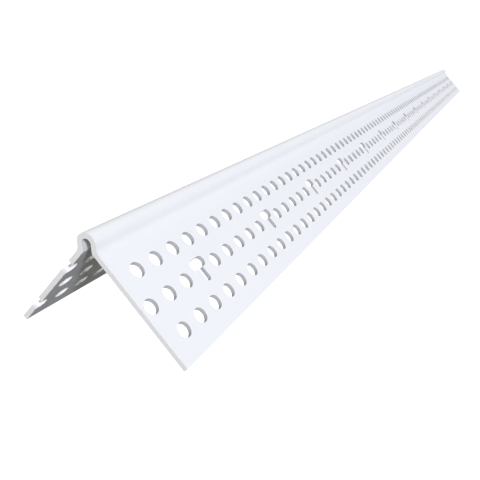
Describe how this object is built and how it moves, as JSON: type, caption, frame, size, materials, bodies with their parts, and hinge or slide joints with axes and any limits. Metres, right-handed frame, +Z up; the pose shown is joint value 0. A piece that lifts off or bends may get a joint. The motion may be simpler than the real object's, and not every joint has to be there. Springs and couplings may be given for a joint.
{
  "type": "drywall corner bead",
  "caption": "White PVC outside-corner bead: a hollow rounded nose between two flanges punched with rows of round holes and keyholes.",
  "frame": {"origin": "middle of the bounding box at floor level, under the nose, half way along the bead", "axes": "+Y along the bead, +X towards the right flange, +Z up through the nose; the bead lies on the free edges of its flanges"},
  "size_m": [0.0444, 0.6096, 0.025],
  "materials": {
    "white_pvc": "satin, white with a slightly cool tint"
  },
  "bodies": {
    "root": {"corner_bead": "white_pvc"}
  },
  "joints": []
}
